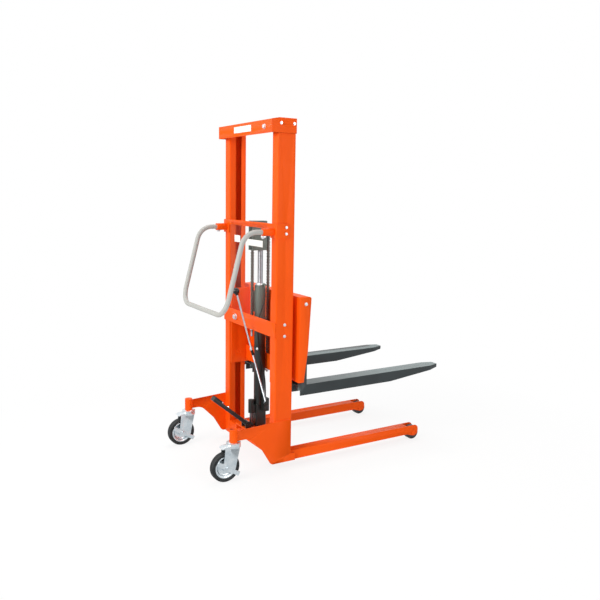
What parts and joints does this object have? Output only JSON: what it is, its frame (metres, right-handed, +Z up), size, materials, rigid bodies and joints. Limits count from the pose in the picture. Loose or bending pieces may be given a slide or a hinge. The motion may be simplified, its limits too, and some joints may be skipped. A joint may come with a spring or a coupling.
{
  "type": "hand pallet stacker",
  "caption": "Hand pallet stacker: two-post mast with a pedal-pumped ram and chain that lift a fork carriage over straddle legs on casters.",
  "frame": {"origin": "on the floor under the middle of the stacker's outline", "axes": "+Z up, +X along the forks, away from the operator, +Y to the operator's left"},
  "size_m": [1.4572, 0.6548, 1.7866],
  "materials": {
    "orange_paint": "gloss powder coat",
    "fork_paint": "satin black paint",
    "ram_paint": "semi-gloss black paint",
    "handle_paint": "light grey enamel",
    "zinc": "bright zinc plate",
    "chrome": "hard chrome",
    "chain_steel": "oiled black steel",
    "cast_iron": "machined",
    "tyre_rubber": "moulded",
    "rubber": "matt",
    "nylon": "moulded",
    "clear_sheet": "clear",
    "knob_plastic": "moulded"
  },
  "bodies": {
    "frame": {"mast_post_left": "orange_paint", "mast_post_right": "orange_paint", "mast_top_bar": "orange_paint", "frame_bolts": "zinc", "handle_crossbar": "orange_paint", "handle_sockets": "orange_paint", "push_handle": "handle_paint", "mid_crossbar": "orange_paint", "guard_panel": "clear_sheet", "side_plate_left": "orange_paint", "side_plate_right": "orange_paint", "base_crossbeam": "orange_paint", "pedal_bracket": "ram_paint", "pedal_pin": "zinc", "leg_left": "orange_paint", "leg_right": "orange_paint", "roller_axles": "zinc", "caster_stems": "zinc", "cylinder_tube": "ram_paint", "cylinder_gland": "zinc", "cylinder_clamp": "ram_paint", "drain_hose": "rubber", "pump_block": "ram_paint", "pump_barrel": "ram_paint", "release_valve": "ram_paint", "chain_anchor_bolt": "zinc", "lift_chain_rear": "chain_steel"},
    "crosshead": {"piston_rod": "chrome", "crosshead": "ram_paint", "sprocket_axle": "zinc", "chain_wrap": "chain_steel", "lift_chain_front": "chain_steel"},
    "sprocket": {"chain_sprocket": "cast_iron"},
    "carriage": {"carriage_side_plates": "orange_paint", "carriage_beam": "orange_paint", "carriage_cross_plate": "orange_paint", "carriage_chain_anchor": "zinc", "guide_axles": "orange_paint", "fork_shaft": "chrome"},
    "pedal": {"pedal_arm": "ram_paint", "pedal_pad": "rubber"},
    "plunger": {"pump_plunger": "chrome"},
    "release": {"release_rod": "zinc", "release_knob": "knob_plastic"},
    "guide_roller_lower_left": {"guide_roller_lower_left": "cast_iron"},
    "guide_roller_upper_left": {"guide_roller_upper_left": "cast_iron"},
    "fork_left": {"fork_left": "fork_paint"},
    "load_roller_left": {"load_roller_left": "nylon"},
    "caster_left": {"caster_yoke_left": "zinc"},
    "wheel_left": {"caster_rim_left": "zinc", "caster_tyre_left": "tyre_rubber"},
    "brake_left": {"caster_brake_left": "zinc"},
    "guide_roller_lower_right": {"guide_roller_lower_right": "cast_iron"},
    "guide_roller_upper_right": {"guide_roller_upper_right": "cast_iron"},
    "fork_right": {"fork_right": "fork_paint"},
    "load_roller_right": {"load_roller_right": "nylon"},
    "caster_right": {"caster_yoke_right": "zinc"},
    "wheel_right": {"caster_rim_right": "zinc", "caster_tyre_right": "tyre_rubber"},
    "brake_right": {"caster_brake_right": "zinc"}
  },
  "joints": [
    {"name": "ram_lift", "type": "slide", "parent": "frame", "child": "crosshead", "axis": [0, 0, 1], "range_m": [-0.17, 0.43], "deforming": ["lift_chain_rear", "lift_chain_front"]},
    {"name": "carriage_lift", "type": "slide", "parent": "crosshead", "child": "carriage", "axis": [0, 0, 1], "range_m": [-0.17, 0.43]},
    {"name": "sprocket_turn", "type": "hinge", "parent": "crosshead", "child": "sprocket", "pos_m": [-0.30715, 0, 1.195], "axis": [0, 1, 0], "range_deg": [-540, 220]},
    {"name": "pedal_stroke", "type": "hinge", "parent": "frame", "child": "pedal", "pos_m": [-0.38565, 0, 0.168], "axis": [0, -1, 0], "range_deg": [0, 35], "stiffness_Nm_per_rad": 6, "springref_deg": -28.65},
    {"name": "plunger_stroke", "type": "slide", "parent": "frame", "child": "plunger", "axis": [0, 0, 1], "range_m": [0, 0.01854]},
    {"name": "release_pull", "type": "hinge", "parent": "frame", "child": "release", "pos_m": [-0.30185, -0.0678, 0.29], "axis": [0, -1, 0], "range_deg": [0, 10], "stiffness_Nm_per_rad": 4, "springref_deg": -17.19},
    {"name": "guide_roller_lower_left_turn", "type": "hinge", "parent": "carriage", "child": "guide_roller_lower_left", "pos_m": [-0.3238, 0.2687, 0.52], "axis": [0, 1, 0], "continuous": true},
    {"name": "guide_roller_upper_left_turn", "type": "hinge", "parent": "carriage", "child": "guide_roller_upper_left", "pos_m": [-0.3238, 0.2687, 0.83], "axis": [0, 1, 0], "continuous": true},
    {"name": "fork_tilt_left", "type": "hinge", "parent": "carriage", "child": "fork_left", "pos_m": [-0.21165, 0.26815, 0.868], "axis": [0, -1, 0], "range_deg": [0, 12]},
    {"name": "load_roller_turn_left", "type": "hinge", "parent": "frame", "child": "load_roller_left", "pos_m": [0.57235, 0.26445, 0.04], "axis": [0, 1, 0], "continuous": true},
    {"name": "caster_swivel_left", "type": "hinge", "parent": "frame", "child": "caster_left", "pos_m": [-0.60565, 0.2914, 0.182], "axis": [0, 0, 1], "continuous": true},
    {"name": "wheel_turn_left", "type": "hinge", "parent": "caster_left", "child": "wheel_left", "pos_m": [-0.65365, 0.2914, 0.075], "axis": [0, 1, 0], "continuous": true},
    {"name": "brake_press_left", "type": "hinge", "parent": "caster_left", "child": "brake_left", "pos_m": [-0.65365, 0.2914, 0.075], "axis": [0, 1, 0], "range_deg": [0, 20]},
    {"name": "guide_roller_lower_right_turn", "type": "hinge", "parent": "carriage", "child": "guide_roller_lower_right", "pos_m": [-0.3238, -0.2687, 0.52], "axis": [0, 1, 0], "continuous": true},
    {"name": "guide_roller_upper_right_turn", "type": "hinge", "parent": "carriage", "child": "guide_roller_upper_right", "pos_m": [-0.3238, -0.2687, 0.83], "axis": [0, 1, 0], "continuous": true},
    {"name": "fork_tilt_right", "type": "hinge", "parent": "carriage", "child": "fork_right", "pos_m": [-0.21165, -0.26815, 0.868], "axis": [0, -1, 0], "range_deg": [0, 12]},
    {"name": "load_roller_turn_right", "type": "hinge", "parent": "frame", "child": "load_roller_right", "pos_m": [0.57235, -0.26445, 0.04], "axis": [0, 1, 0], "continuous": true},
    {"name": "caster_swivel_right", "type": "hinge", "parent": "frame", "child": "caster_right", "pos_m": [-0.60565, -0.2914, 0.182], "axis": [0, 0, 1], "continuous": true},
    {"name": "wheel_turn_right", "type": "hinge", "parent": "caster_right", "child": "wheel_right", "pos_m": [-0.65365, -0.2914, 0.075], "axis": [0, 1, 0], "continuous": true},
    {"name": "brake_press_right", "type": "hinge", "parent": "caster_right", "child": "brake_right", "pos_m": [-0.65365, -0.2914, 0.075], "axis": [0, 1, 0], "range_deg": [0, 20]}
  ],
  "couplings": [
    {"joint": "carriage_lift", "follows": "ram_lift", "ratio": 1},
    {"joint": "sprocket_turn", "follows": "ram_lift", "rad_per_m": -20.736},
    {"joint": "plunger_stroke", "follows": "pedal_stroke", "m_per_rad": 0.029535}
  ]
}
